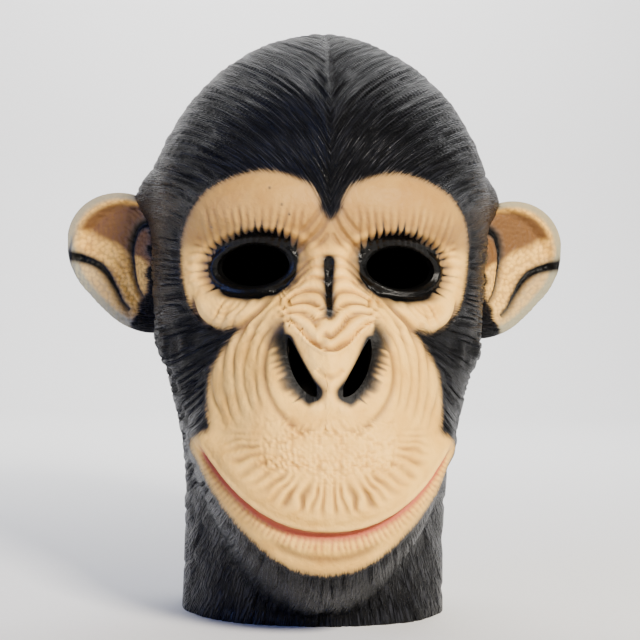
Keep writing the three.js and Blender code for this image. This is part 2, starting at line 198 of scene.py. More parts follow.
LUMPS = [
    # middle; place and half sizes, out and up, in shares of its width; height in shares of RELIEF;
    # lean in radians; edge (1 is round, more is flatter and steeper); whether the inside follows
    [EYE, 0.05, 0.82, 0.95, 0.44, 0.85, -0.1, 1.6, True],  # brow ridge
    [EYE, 0, 0, 0.78, 0.45, -0.95, 0, 1.5, True],  # socket
    [EYE, 0.24, -0.62, 0.78, 0.26, 0.5, 0.15, 1.3, True],  # pouch
    [NOSE, 0, 1.12, 0.15, 0.26, 0.15, 0, 1, False],  # between the brows
    [NOSE, 0, 0.57, 0.2, 0.42, 0.5, 0, 1, True],  # bridge
    [NOSE, 0, 0, 0.2, 0.24, 0.5, 0, 1.3, True],  # tip
    [NOSE, 0.3, 0.36, 0.18, 0.12, 0.35, 0.4, 1, False],  # fold over the nostril
    [NOSE, 0.42, -0.12, 0.13, 0.3, 0.3, 0.3, 1, False],  # wing
    [NOSTRIL, 0, 0, 0.13, 0.3, -0.35, -NOSTRIL_LEAN, 1.6, True],
    [NOSE, 0, 0.02, 0.5, 0.5, 0.28, 0, 3, True],  # the whole nose, a low round plate
    [NOSE, 0.98, -0.6, 0.13, 0.2, 0.4, 0.4, 1.2, True],  # cheek by the mouth's corner
]


def bell(s, z, out, up, half_out, half_up, lean=0.0, edge=1.0):
    """A lump 1 high, exp(-(a^2 + b^2)^edge), with a and b measured along its leaning axes in half sizes.
    """
    a = ((s - out) * np.cos(lean) + (z - up) * np.sin(lean)) / half_out
    b = (-(s - out) * np.sin(lean) + (z - up) * np.cos(lean)) / half_up
    return np.exp(-((a * a + b * b) ** edge))


def over_mouth(s, z):
    """Height over the mouth line, which rises towards its corners as the 2.2nd power of the distance out.
    """
    return z - MOUTH_HEIGHT - MOUTH_RISE * (s / MOUTH_HALF) ** 2.2


def hump(value, middle, spread):
    """A bell curve along one direction: exp(-((value - middle) / spread)^2)."""
    return np.exp(-(((value - middle) / spread) ** 2))


def large_relief(points, inside=False):
    """Height of the large modelling over the plain head: the lumps, both lips, and a mound over the root
    of each ear. The face's part of it fades out behind the temples."""
    s, z = np.abs(points[..., 0]), points[..., 2]
    lift = np.zeros_like(s)
    for (middle, level, unit), out, up, half_out, half_up, height, lean, edge, deep in LUMPS:
        if deep or not inside:
            place = middle + out * unit, level + up * unit, half_out * unit, half_up * unit
            lift += RELIEF * height * bell(s, z, *place, lean, edge)
    over = over_mouth(s, z)
    lips = 0.3 * (hump(over, LIP_REACH, LIP_REACH) + hump(over, -LIP_REACH, LIP_REACH))
    groove = 0.24 * hump(over, 0, 5.8) if inside else 0.26 * hump(over, -0.5, 2.2)
    lift += RELIEF * (lips - groove) * smooth(MOUTH_HALF + LIP_REACH / 2, MOUTH_HALF - LIP_REACH, s)
    lift *= smooth(0.1 * FACE_REACH, -0.4 * FACE_REACH, points[..., 1])
    mound = hump(z, EAR_HEIGHT + 0.95 * EAR_TALL, 0.35 * EAR_TALL)
    mound *= hump(points[..., 1], EAR_BACK, 0.6 * EAR_WIDE)
    return lift + EAR_MOUND * mound * smooth(0.2 * HEAD_WIDTH, 0.45 * HEAD_WIDTH, s)


def modelled(turn, row, inside=False):
    """The plain head moved along its normals by the large relief."""
    points = plain_head(turn, row)
    return points + plain_normals(turn, row) * large_relief(points, inside)[..., None]


# %% [markdown]
# The grid that the skin is drawn on
#
# Every point of the skin has two numbers: its turn round the head and its ring. The grid is finer over
# the face, where wrinkles are 2 mm wide, than over the hair. It is cut into patches, so that each keeps
# its own share of detail, and they share their border points, so no seam shows.

# %% Lay out the grid
FACE_TURN = 1.0  # radians from the mid-line to the edge of the fine part
FACE_COLUMNS = 384
SIDE_COLUMNS = 180
CROWN_ROWS = 99
FACE_ROWS = 375
FACE_TOP = 5.6  # number of the ring where the crown's patch ends, just over the hairline
COARSE = 3  # the inside of the skin has one point for each three outside


def spaced_rows(start, end, count):
    """count + 1 ring numbers from start to end, evenly spaced in distance along the mid-line and the side
    together."""
    row = np.linspace(start, end, 2001)
    paths = [plain_head(np.full_like(row, t), row) for t in (0.25, 1.5)]
    front, side = (np.linalg.norm(np.diff(path, axis=0), axis=1) for path in paths)
    reached = np.concatenate([[0], np.cumsum(0.75 * front + 0.25 * side)])
    return np.interp(np.linspace(0, reached[-1], count + 1), reached, row)


rows = np.concatenate([spaced_rows(0, FACE_TOP, CROWN_ROWS), spaced_rows(FACE_TOP, LAST, FACE_ROWS)[1:]])
turns = np.concatenate([
    np.linspace(-np.pi, -FACE_TURN, SIDE_COLUMNS + 1)[:-1],
    np.linspace(-FACE_TURN, FACE_TURN, FACE_COLUMNS + 1),
    np.linspace(FACE_TURN, np.pi, SIDE_COLUMNS + 1)[1:],
])
turn, row = np.meshgrid(turns, rows)
print("grid of", *turn.shape, "points")

# %% [markdown]
# Holes that lie on the grid
#
# The eyes and nostrils are open. Cutting them with a boolean would leave ragged slivers, so the grid
# itself is bent instead: a block of cells is left out, and the nodes round it are pulled until its square
# border lies on the oval of the hole. Away from the hole the pull fades to nothing.

# %% Bend the grid round the holes
def settle(turn, row, target, axes, tries=4):
    """Turn and row of the points of the modelled head whose coordinates on two axes are the target's, by
    Newton's method: the miss is divided by the slopes and taken off, a few times."""
    e = 1e-3
    for _ in range(tries):
        here = modelled(turn, row)[..., axes]
        by_turn = (modelled(turn + e, row)[..., axes] - here) / e
        by_row = (modelled(turn, row + e)[..., axes] - here) / e
        miss = here - target
        det = by_turn[..., 0] * by_row[..., 1] - by_turn[..., 1] * by_row[..., 0]
        det = np.where(np.abs(det) < 1e-3, 1e-3, det)
        turn = turn - (miss[..., 0] * by_row[..., 1] - miss[..., 1] * by_row[..., 0]) / det
        row = row - (by_turn[..., 0] * miss[..., 1] - by_turn[..., 1] * miss[..., 0]) / det
        row = np.clip(row, 1e-3, LAST - 2e-3)
    return turn, row


def bend_round(out, up, wide, tall, lean, taper, bow, half_columns, half_rows, fade_columns, fade_rows):
    """Bends the grid round an oval hole and gives the block of cells to leave out. In units of the block,
    a node lies at (a, b); its square distance m = max(|a|, |b|) becomes its round distance on the oval.
    Outside the block it goes back to its old place evenly, so that no cell folds over. taper narrows the
    top, bow bends the middle line."""
    near = (surface[..., 0] - out) ** 2 + (surface[..., 2] - up) ** 2 + 1e6 * (surface[..., 1] > 0)
    r0, c0 = (int(round(i / COARSE)) * COARSE for i in np.unravel_index(np.argmin(near), near.shape))
    reach_rows, reach_columns = int(half_rows * fade_rows), int(half_columns * fade_columns)
    part = np.s_[r0 - reach_rows : r0 + reach_rows + 1, c0 - reach_columns : c0 + reach_columns + 1]
    r, c = np.mgrid[part]
    a, b = (c - c0) / half_columns, (r0 - r) / half_rows
    m = np.maximum(np.abs(a), np.abs(b))
    round_off = m / np.maximum(np.hypot(a, b), 1e-9)
    b = b * round_off
    a = a * round_off * wide / 2 * (1 - taper * np.clip(b, -1, 1)) + bow * np.maximum(1 - b * b, 0)
    b = b * tall / 2
    cos, sin = np.cos(lean), np.sin(lean)
    oval = np.stack([out + a * cos + b * sin, up - a * sin + b * cos], -1)
    back_columns = (np.abs(c - c0) / half_columns - 1) / (fade_columns - 1)
    back_rows = (np.abs(r - r0) / half_rows - 1) / (fade_rows - 1)
    back = np.clip(np.maximum(back_columns, back_rows), 0, 1)[..., None]
    target = oval * (1 - back) + surface[part][..., [0, 2]] * back
    turn[part], row[part] = settle(turn[part], row[part], target, [0, 2])
    return slice(r0 - half_rows, r0 + half_rows), slice(c0 - half_columns, c0 + half_columns)


surface = modelled(turn, row)
eye_size = EYE_WIDE, EYE_TALL
nostril_size = NOSTRIL_WIDE, NOSTRIL_LONG
nostril_height = NOSE_HEIGHT - 1.0
holes = []
for k in (-1, 1):
    holes.append(bend_round(k * EYE_OUT, EYE_HEIGHT, *eye_size, k * EYE_TILT, 0, 0, 33, 18, 1.5, 1.6))
for k in (-1, 1):
    place = k * NOSTRIL_OUT, nostril_height, *nostril_size, k * NOSTRIL_LEAN, 0.3, k * 1.8
    holes.append(bend_round(*place, 6, 24, 4.0, 1.5))
surface = modelled(turn, row)
normals = plain_normals(turn, row)
print("holes at grid blocks", [(h[0].start, h[1].start) for h in holes])

# %% [markdown]
# Helpers for fine relief
#
# Wrinkles come in families, like the rings of a pond or the rays of a fan. Each family is a row of narrow
# grooves, one for every whole number of some smooth function, its phase, and a little noise in the phase
# keeps them from looking machined. Everything is a function of s, the distance from the mid-line, and z,
# so left mirrors right.

# %% Noise, grooves, creases and distances
def noise(x, y, seed):
    """Smooth noise from -1 to 1: random numbers on a unit lattice, blended with S-curves between
    neighbours."""
    size = 128
    lattice = np.random.default_rng(seed).uniform(-1, 1, (size, size))
    i, j = np.floor(x).astype(int), np.floor(y).astype(int)
    fx, fy = smooth(0, 1, x - i), smooth(0, 1, y - j)
    i, j = i % size, j % size
    i1, j1 = (i + 1) % size, (j + 1) % size
    near = lattice[i, j] * (1 - fx) + lattice[i1, j] * fx
    far = lattice[i, j1] * (1 - fx) + lattice[i1, j1] * fx
    return near * (1 - fy) + far * fy


def cells(x, y, seed):
    """Distance to the nearest of many scattered points, one at a random place in each unit square."""
    size = 128
    scattered = np.random.default_rng(seed).uniform(0.1, 0.9, (size, size, 2))
    i, j = np.floor(x).astype(int), np.floor(y).astype(int)
    nearest = np.full(x.shape, 9.0)
    for di in (-1, 0, 1):
        for dj in (-1, 0, 1):
            spot = scattered[(i + di) % size, (j + dj) % size]
            nearest = np.minimum(nearest, np.hypot(x - i - di - spot[..., 0], y - j - dj - spot[..., 1]))
    return nearest


def line_distance(s, z, points, smoothness=8):
    """Distance to a smooth line through the points, and how far along it the nearest place is, from 0 to
    1."""
    points = np.array(points, float)
    padded = np.concatenate([[2 * points[0] - points[1]], points, [2 * points[-1] - points[-2]]])
    f = np.linspace(0, 1, smoothness, endpoint=False)[:, None]
    spans = [spline(*four, f) for four in zip(padded, padded[1:], padded[2:], padded[3:])]
    path = np.concatenate(spans + [points[-1:]])
    nearest = np.full(s.shape, 1e9)
    along = np.zeros(s.shape)
    for k, (start, end) in enumerate(zip(path, path[1:])):
        step = end - start
        share = np.clip(((s - start[0]) * step[0] + (z - start[1]) * step[1]) / (step @ step), 0, 1)
        gap = np.hypot(s - start[0] - share * step[0], z - start[1] - share * step[1])
        along = np.where(gap < nearest, (k + share) / (len(path) - 1), along)
        nearest = np.minimum(gap, nearest)
    return nearest, along


def crease(s, z, points, width, depth, fade=0.16):
    """A groove along a line: -depth * exp(-(distance / width)^2), fading over a share of its length at
    each end."""
    gap, along = line_distance(s, z, points)
    return -depth * hump(gap, 0, width) * smooth(0, fade, along) * smooth(1, 1 - fade, along)


def lines(phase, width):
    """1 where the phase is a whole number, falling as a narrow bell curve to both sides."""
    return hump(phase - np.round(phase), 0, width)


def grooves(phase, width=0.2):
    """Grooves 1 deep on the lines where the phase is a whole number, with gently swelling ridges between.
    """
    return 0.1 - lines(phase, width) - 0.25 * np.cos(2 * np.pi * phase)


def uneven(s, z, seed, size=7.0):
    """A factor round 1 that makes some folds of a family stronger than others."""
    return np.clip(0.85 + 0.75 * noise(s / size, z / size, seed), 0.15, 1.6)


def polar(s, z, out, up, wide=1.0):
    """Distance from a centre, with distances across divided by wide, and the angle from straight down, in
    degrees."""
    a, b = (s - out) / wide, up - z
    return np.hypot(a, b), np.degrees(np.arctan2(a, b))


def within(value, start, end, fade):
    """1 between start and end, falling to 0 over fade outside them."""
    return smooth(start - fade, start, value) * smooth(end + fade, end, value)


# %% [markdown]
# Folds round the eyes
#
# The eye hole has a rolled rim. Over it the brow is a cushion with soft upright grooves, and the lashes
# will be painted in their lower ends. Under it lies a pouch: its wrinkles follow the crease that closes
# it below, so their phase is the distance from that crease.

# %% Relief of the eyes
POUCH_CREASE = [(67.5, 170), (64, 158), (57, 152), (50, 150), (42, 154), (30, 165), (18, 179)]


def brow_phase(s, z):
    """Phase of the brow's upright grooves, 3.6 mm apart: they fan out a little from a point far below."""
    _, angle = polar(s, z, 34, 120)
    return -angle / 2.45 + 0.3 * noise(s / 12, z / 9, 2)


def feet_phase(s, z):
    """Phase of the short lines at the outer corner: rays from the eye."""
    _, angle = polar(s, z, EYE_OUT, EYE_HEIGHT)
    return angle / 8.5 + 0.25 * noise(s / 7, z / 7, 16)


def round_eye(s, z, wide):
    """Polar place about the middle of the eye, along its tilted axes."""
    return polar(s, z + EYE_TILT * (s - EYE_OUT), EYE_OUT, EYE_HEIGHT, wide)


def eye_relief(s, z):
    """Rolled rim, brow grooves, pouch wrinkles, crow's feet, and the creases that bound brow and pouch.
    """
    share, angle = round_eye(s, z, EYE_WIDE / EYE_TALL)
    rim = 1.5 * hump(share, 11.2, 1.3) - 0.9 * hump(share, 14.6, 1.5) + 0.6 * hump(share, 17.5, 1.6)
    folds = grooves(brow_phase(s, z), 0.26) * within(z, 196, 205, 9) * within(s, 14, 58, 6)
    folds *= uneven(s, z / 3, 41, 4)
    gap, along = line_distance(s, z, POUCH_CREASE)
    above = z - np.interp(s, *np.array(POUCH_CREASE[::-1]).T)
    wander = 0.3 * noise(s / 10, z / 8, 1)
    pouch = grooves(gap / 2.9 + wander, 0.24) * smooth(15.5, 18, share) * smooth(0, 3, above)
    pouch *= smooth(17, 12, gap) * smooth(176, 168, z - 0.1 * s) * smooth(58, 47, s) * uneven(s, z, 42)
    below = grooves(gap / 3.7 + wander, 0.22) * smooth(0, -2, above)
    below *= within(s, 12, 38, 6) * smooth(11, 7, gap)
    round_share, _ = round_eye(s, z, 1.3)
    feet = grooves(feet_phase(s, z)) * within(round_share, 19, 25, 3) * within(angle, 70, 130, 10)
    feet *= (s > EYE_OUT) * uneven(s, z, 43, 4)
    closing = -2.0 * hump(gap, 0, 1.4) * smooth(0, 0.1, along) * smooth(1, 0.75, along)
    roll = 1.2 * hump(gap, 4.5, 3) * smooth(0, 2, above) * smooth(0, 0.1, along) * smooth(1, 0.6, along)
    return rim + 0.3 * folds + 0.5 * pouch + 0.4 * below + 0.45 * feet + closing + roll


# %% [markdown]
# Folds of the nose and cheeks
#
# The nose is bare and nearly flat. Folds lie round the upper end of each nostril like ripples, and where
# left and right ripples meet at the mid-line they make the letter M. Further out they turn into one round
# crease about the whole nose, and outside that come the long folds of the cheeks, as wider rings.

# %% Relief of the nose
NOSTRIL_LINE = [(19.4, 147.4), (17.2, 141.4), (14.5, 134.7), (10.9, 128.0), (7.5, 123.2)]
SADDLE_STEPS = [0, 4, 8, 12, 16, 20, 24]  # distances from the mid-line
SADDLE_FOLDS = [  # heights of the folds over the nostrils there, lowest first, and their strengths
    [143.3, 143.8, 146, 150, 154.6, 157.2, 155, 2.3],
    [148.2, 152.6, 157.6, 160.4, 161.2, 160.6, 158.6, 1.9],
    [157, 162.6, 165.4, 166, 165.2, 163.6, 161.4, 1.6],
    [166.5, 170.2, 171.5, 171.2, 169.3, 166.8, 164, 1.3],
    [174.5, 177, 177.4, 175.8, 172.6, 169.5, 166, 1.1],
    [180.5, 182.6, 182.3, 179.4, 175.6, 171.5, 167, 0.8],
    [187, 187.5, 186, 183, 178.5, 173.5, 168, 0.7],
]


def saddle_relief(s, z):
    """The M-shaped folds. Between one fold and the next the phase rises by 1, and past the last ones it
    goes on at 5 mm a fold while the strength falls to nothing."""
    fine = np.linspace(-12, 36, 193)
    soft = hump(np.arange(-12, 13) / 4.0, 0, 1.8)
    heights = []
    for fold in SADDLE_FOLDS:
        bent = np.convolve(np.interp(np.abs(fine), SADDLE_STEPS, fold[:-1]), soft / soft.sum(), "same")
        heights.append(np.interp(s, fine, bent))
    phase = (np.minimum(z - heights[0], 0) + np.maximum(z - heights[-1], 0)) / 5
    for low_fold, high_fold in zip(heights, heights[1:]):
        phase += np.clip((z - low_fold) / np.maximum(high_fold - low_fold, 0.5), 0, 1)
    strength = np.interp(phase, np.arange(len(SADDLE_FOLDS)), [fold[-1] for fold in SADDLE_FOLDS])
    strength *= within(phase, -0.3, 6.2, 0.35) * smooth(26, 20, s - 0.12 * (z - 150))
    return strength * (grooves(phase + 0.08 * noise(s / 5, z / 5, 3), 0.19) + 0.15)


def nose_relief(s, z):
    """Upright groove, folds over the nostrils, frown lines, round crease, and the edge under the tip."""
    gap, _ = line_distance(s, z, NOSTRIL_LINE, 4)
    groove = -2.0 * hump(line_distance(s, z, [(0, 161), (0, 173), (0, 184)])[0], 0, 2.3)
    frown = crease(s, z, [(1.0, 208), (5, 200), (12, 193), (17, 189)], 1.4, 1.5)
    frown += crease(s, z, [(3, 213), (9, 204), (15, 198)], 1.1, 0.8)
    frown += crease(s, z, [(0.5, 199), (4, 194), (10, 189)], 1, 0.7)
    share, angle = polar(s, z, 0, NOSE_HEIGHT - 2)
    fold = -1.2 * hump(share, 31, 1.5) * within(angle, 30, 118, 16)
    tip = crease(s, z, [(-3, 131), (0, 130.5), (3.5, 131.5), (6, 134)], 1.6, 1.3, 0.02)
    philtrum = crease(s, z, [(2.8, 127), (3.2, 120), (3, 112)], 0.9, 0.5)
    wing = 0.9 * hump(gap, 7.5, 2.6) * smooth(-1, 3, np.interp(z, [125, 152], [7.4, 20.5]) - s + 3)
    return saddle_relief(s, z) * smooth(3.2, 6, gap) + groove + frown + fold + tip + philtrum + wing


# %% Relief of the muzzle
def along_mouth(s, z):
    """Distance along the mouth line of the nearest place on it, so that lines drawn on it stand square to
    it."""
    slope = 1.37 * (s / MOUTH_HALF) ** 1.2
    foot = s + slope * over_mouth(s, z) / (1 + slope**2)
    return foot * (1 + 0.276 * (np.abs(foot) / MOUTH_HALF) ** 2.4)


def muzzle_relief(s, z):
    """Cheek rings, a fan of creases over the lip, rough bumps between, ticks on the lower lip and the
    chin crease."""
    share, angle = polar(s, z, 0, 132)
    wander = 0.35 * noise(s / 12, z / 16, 5) + 0.12 * noise(s / 4, z / 7, 6)
    rings = grooves((share - 31) / 4.9 + wander, 0.2) * within(share, 34.5, 60, 2.5)
    rings *= within(angle, 72, 122, 14) * uneven(s, z, 44, 9)
    over = over_mouth(s, z)
    patch = within(z, 84 + 5 * smooth(4, 14, s), 108, 6) * smooth(42, 20, s)
    rough = np.clip(0.75 - 1.7 * cells(s / 2.5, z / 2.0, 8), -0.4, 0.6) * patch * uneven(s, z, 48, 5)
    ray, angle = polar(s, z, 0, 106)
    crowding = 0.0012 * np.maximum(np.abs(angle) - 55, 0) ** 2
    fan = grooves(0.5 + angle / 8.5 + crowding + 0.4 * noise(s / 7, z / 7, 7), 0.25)
    fan *= smooth(0, 8, ray - 15 - 0.13 * np.abs(angle)) * smooth(44, 36, ray - 0.12 * angle)
    fan *= within(angle, -4, 86, 8) * smooth(5, 11, over) * uneven(s, z, 45, 6) * (1 - 0.8 * patch)
    fan *= 0.85 + 0.4 * noise(angle / 11, ray / 9, 49)
    corner = smooth(MOUTH_HALF + 1, MOUTH_HALF - 4, s)
    ticks = grooves(along_mouth(s, z) / 2.5 + 0.35 * noise(s / 4, z / 9, 9), 0.28)
    ticks *= within(over, -10, -4.5, 2.5) * corner
    edge = (0.9 * hump(over, 1.6, 1.4) - 1.1 * hump(over, -0.9, 1.1) - 0.6 * hump(over, -4.2, 0.9)) * corner
    chin = crease(s, z, [(-30, 54), (-14, 46.5), (0, 44.5), (14, 46.5), (30, 54)], 2.4, 1.1)
    return 0.65 * rings + 1.0 * fan + 1.25 * rough + 0.3 * ticks + edge + chin


# %% [markdown]
# Where skin ends and hair begins
#
# The mask has no hairline in its rubber, only in its paint, and the modelled hair starts there. So the
# border is one closed outline round the bare face. Its signed distance tells each point how far it is
# inside the hair or the skin, and shapes, bumps and colours all fade by it.

# %% Signed distance to the bare skin's outline
SKIN_EDGE = [
    (0, 206), (3.5, 210), (5, 216), (9, 222), (19, 227), (32, 229.5), (46, 227), (60, 220), (69.5, 208),
    (73.5, 195), (73, 178), (69, 164), (62, 154.5), (52, 150.5), (45, 152), (47.5, 147.5), (53, 140),
    (57.5, 131), (59, 121), (58.5, 111), (57, 104.5), (61, 102.5), (66, 98), (66.5, 92), (61, 82), (52, 69),
    (41, 56.5), (29, 46), (15, 38), (0, 35),
]


def edge_distance(s, z, outline):
    """Distance to an outline, which is mirrored at the mid-line: below 0 inside it. Whether a point is
    inside comes from counting the outline's crossings of a line that runs out sideways from the point."""
    gap, _ = line_distance(s, z, outline, 4)
    points = np.array(outline, float)
    inside = np.ones(s.shape, bool)
    for (s0, z0), (s1, z1) in zip(points, points[1:]):
        crosses = (z0 > z) != (z1 > z)
        at = s0 + (z - z0) / np.where(z1 == z0, 1e-9, z1 - z0) * (s1 - s0)
        inside ^= crosses & (s < at)
    return np.where(inside, gap, -gap)


s_all, z_all = np.abs(surface[..., 0]), surface[..., 2]
on_face = (np.abs(turn) < 1.5) & (surface[..., 1] < -20)
hair_edge = np.full(turn.shape, 30.0)
hair_edge[on_face] = edge_distance(s_all[on_face], z_all[on_face], SKIN_EDGE)
print("bare skin covers", round(100 * float((hair_edge < 0).mean())), "% of the grid")

# %% [markdown]
# Which way the hair lies
#
# On the forehead the modelled hair springs from a parting, like the veins of a leaf from its rib, and
# sweeps up and out. Over the temples and down the beard it streams away from a pole between the eyes,
# like meridians. Behind the ears it hangs straight down the nape. For each of the three flows a point
# gets a place along a strand and a place across the strands. Noise that is long one way and short the
# other is hair. Combing curves by hand would look freer, but it would have to be done again whenever the
# head changes, and these flows follow the head by themselves.

# %% Flow coordinates
FLOW_POLE = np.array([0, -105, 175.0])
FLOW_RADIUS = 110  # mm, turns an angle round the pole into a distance across the strands
NAPE_RADIUS = 95  # the same round the neck
VEIN_RISE = 82.0  # how far a strand from the parting climbs, and within what distance sideways
VEIN_REACH = 33.0

away = surface - FLOW_POLE
meridian_along = np.linalg.norm(away, axis=-1)
meridian_across = FLOW_RADIUS * np.arctan2(away[..., 0], away[..., 2])
nape = smooth(15, 70, surface[..., 1])
nape_across = NAPE_RADIUS * turn
middle = plain_head(np.full_like(rows, 0.05), rows)
climbed = np.concatenate([[0], np.cumsum(np.linalg.norm(np.diff(middle, axis=0), axis=1))])
climb = np.interp(row, rows, climbed[-1] - climbed)
sideways = np.abs(turn) * ring("side", row) * HEAD_WIDTH / 2
vein_across = climb - VEIN_RISE * (1 - np.exp(-sideways / VEIN_REACH))
vein_along = np.hypot(sideways, 0.6 * climb)
leafy = smooth(188, 222, surface[..., 2]) * smooth(30, -25, surface[..., 1])
print("hair on the forehead follows the parting over", round(100 * float(leafy.mean())), "% of the grid")


HAIR_DEPTH = 1.6  # mm, the deepest groove in the hair
FOLD_DEPTH = 2.0  # and in the face
INSIDE_GAP = 0.8  # mm that the inside lies deeper still, so that no groove breaks through the wall


def groove_noise(across, along, cell, length, seed):
    """Hair-like grooves: noise stretched along the strands, where each crossing of zero is a sharp
    valley."""
    sway = 0.35 * noise(across / (5 * cell), along / length, seed + 50)
    return np.minimum(2.4 * np.abs(noise(across / cell + sway, along / length, seed)), 1)


def hair_relief(points, edge):
    """Locks and strands cut into the plain head, tufts under the ears, and the parting."""
    near = groove_noise(meridian_across, meridian_along, 3.4, 24, 12)
    wide = groove_noise(nape_across, points[..., 2], 3.6, 28, 13)
    veins = groove_noise(vein_across, vein_along, 5.4, 24, 14)
    fine = groove_noise(vein_across, vein_along, 3.6, 15, 15)
    swirl = (1 - nape) * near + nape * wide
    strands = (1 - leafy) * swirl + leafy * (0.55 * veins + 0.45 * fine)
    locks = noise(meridian_across / 8.5, meridian_along / 40, 18)
    s = np.abs(points[..., 0])
    tufts = 2.4 * bell(s, points[..., 2], 90, 142, 22, 9)
    tufts *= 0.7 + noise(points[..., 1] / 7, points[..., 2] / 12, 19)
    parting = -hump(points[..., 0], 0, 2.2) * smooth(206, 222, points[..., 2])
    parting *= smooth(60, -20, points[..., 1])
    cut = np.maximum(1.1 * (strands - 1) + 0.3 * (locks - 1) + parting, -HAIR_DEPTH)
    return (cut + tufts) * smooth(-1.0, 3.0, edge)


# %% Add it all up
moulded_hair = hair_relief(surface, hair_edge)
bare = hair_edge < 2
s, z = s_all[bare], z_all[bare]
folds = np.zeros(turn.shape)
folds[bare] = (eye_relief(s, z) + nose_relief(s, z) + muzzle_relief(s, z)) * smooth(2, -2, hair_edge[bare])
folds = np.maximum(folds, -FOLD_DEPTH)
grain = 0.14 * noise(s_all / 2.6, z_all / 2.6, 20) * (hair_edge < 2)
outer = surface + normals * (moulded_hair + folds + grain)[..., None]
outer[-1, :, 2] = 0
coarse_part = np.s_[::COARSE, ::COARSE]
inner = modelled(turn[coarse_part], row[coarse_part], inside=True)
inner -= (WALL + INSIDE_GAP) * normals[coarse_part]
inner[-1, :, 2] = 0
for wall in (outer, inner):
    wall[..., 1] += SHIFT
outer = np.clip(outer, low, high)
print("folds from", folds.min().round(2), "to", folds.max().round(2), "mm")


def grid_normals(points):
    """Outward normals of a grid of points that closes round the head, from differences between
    neighbours."""
    wrapped = np.concatenate([points[:, -2:-1], points, points[:, 1:2]], 1)
    return cross_normals(wrapped[:, 2:] - wrapped[:, :-2], np.gradient(points, axis=0))


outer_normals = grid_normals(outer)
inner_normals = -grid_normals(inner)

# %% [markdown]
# Patches of skin, each a closed solid
#
# A mesh of one surface has no thickness, and through the eye holes the inside would look like paper. So
# every patch gets its inside wall, as far behind as the latex is thick, and edges that join the two. The
# inside is smooth and has a third of the points each way, and each border segment is bridged with a small
# fan of four triangles.

# %% Build meshes from whole arrays
ROUND = outer.shape[1] - 1  # columns round the head; the last one repeats the first


def mesh_object(name, points, quads, triangles, corner_normals, slots, values, materials):
    """A mesh object from arrays in mm, with its own shading normal at each corner and named values at
    each point."""
    mesh = bpy.data.meshes.new(name)
    corners = np.concatenate([quads.ravel(), triangles.ravel()])
    starts = np.concatenate([np.arange(len(quads)) * 4, quads.size + np.arange(len(triangles)) * 3])
    mesh.vertices.add(len(points))
    mesh.vertices.foreach_set("co", (points * MM).astype(np.float32).ravel())
    mesh.loops.add(len(corners))
    mesh.loops.foreach_set("vertex_index", corners.astype(np.int32))
    mesh.polygons.add(len(starts))
    mesh.polygons.foreach_set("loop_start", starts.astype(np.int32))
    mesh.polygons.foreach_set("material_index", slots.astype(np.int32))
    mesh.polygons.foreach_set("use_smooth", np.ones(len(starts), bool))
    mesh.update(calc_edges=True)
    for key, data in values.items():
        vector = data.ndim == 2
        attribute = mesh.attributes.new(key, "FLOAT_VECTOR" if vector else "FLOAT", "POINT")
        attribute.data.foreach_set("vector" if vector else "value", data.astype(np.float32).ravel())
    mesh.normals_split_custom_set(corner_normals.tolist())
    for material in materials:
        mesh.materials.append(material)
    piece = bpy.data.objects.new(name, mesh)
    bpy.context.scene.collection.objects.link(piece)
    print(name, "has", 2 * len(quads) + len(triangles), "triangles")
    return piece


def flat_normals(points, triangles):
    """The normal of each triangle, three times over, one for each corner."""
    a, b, c = (points[triangles[:, i]] for i in range(3))
    normals = np.cross(b - a, c - a)
    normals /= np.maximum(np.linalg.norm(normals, axis=1, keepdims=True), 1e-12)
    return np.repeat(normals, 3, 0)


def grid_quads(ids):
    """Quads of a grid of point numbers, facing outwards when rows run down and columns run round."""
    return np.stack([ids[:-1, :-1], ids[1:, :-1], ids[1:, 1:], ids[:-1, 1:]], -1)


def wall_fans(fine, coarse):
    """Triangles between a fine edge and the same edge in coarse points, four for each coarse segment."""
    f0, f1, f2, f3 = fine[:-1:3], fine[1::3], fine[2::3], fine[3::3]
    i0, i1 = coarse[:-1], coarse[1:]
    triangles = (f1, f0, i0), (f2, f1, i0), (f2, i0, i1), (f3, f2, i1)
    return np.concatenate([np.stack(corners, 1) for corners in triangles])


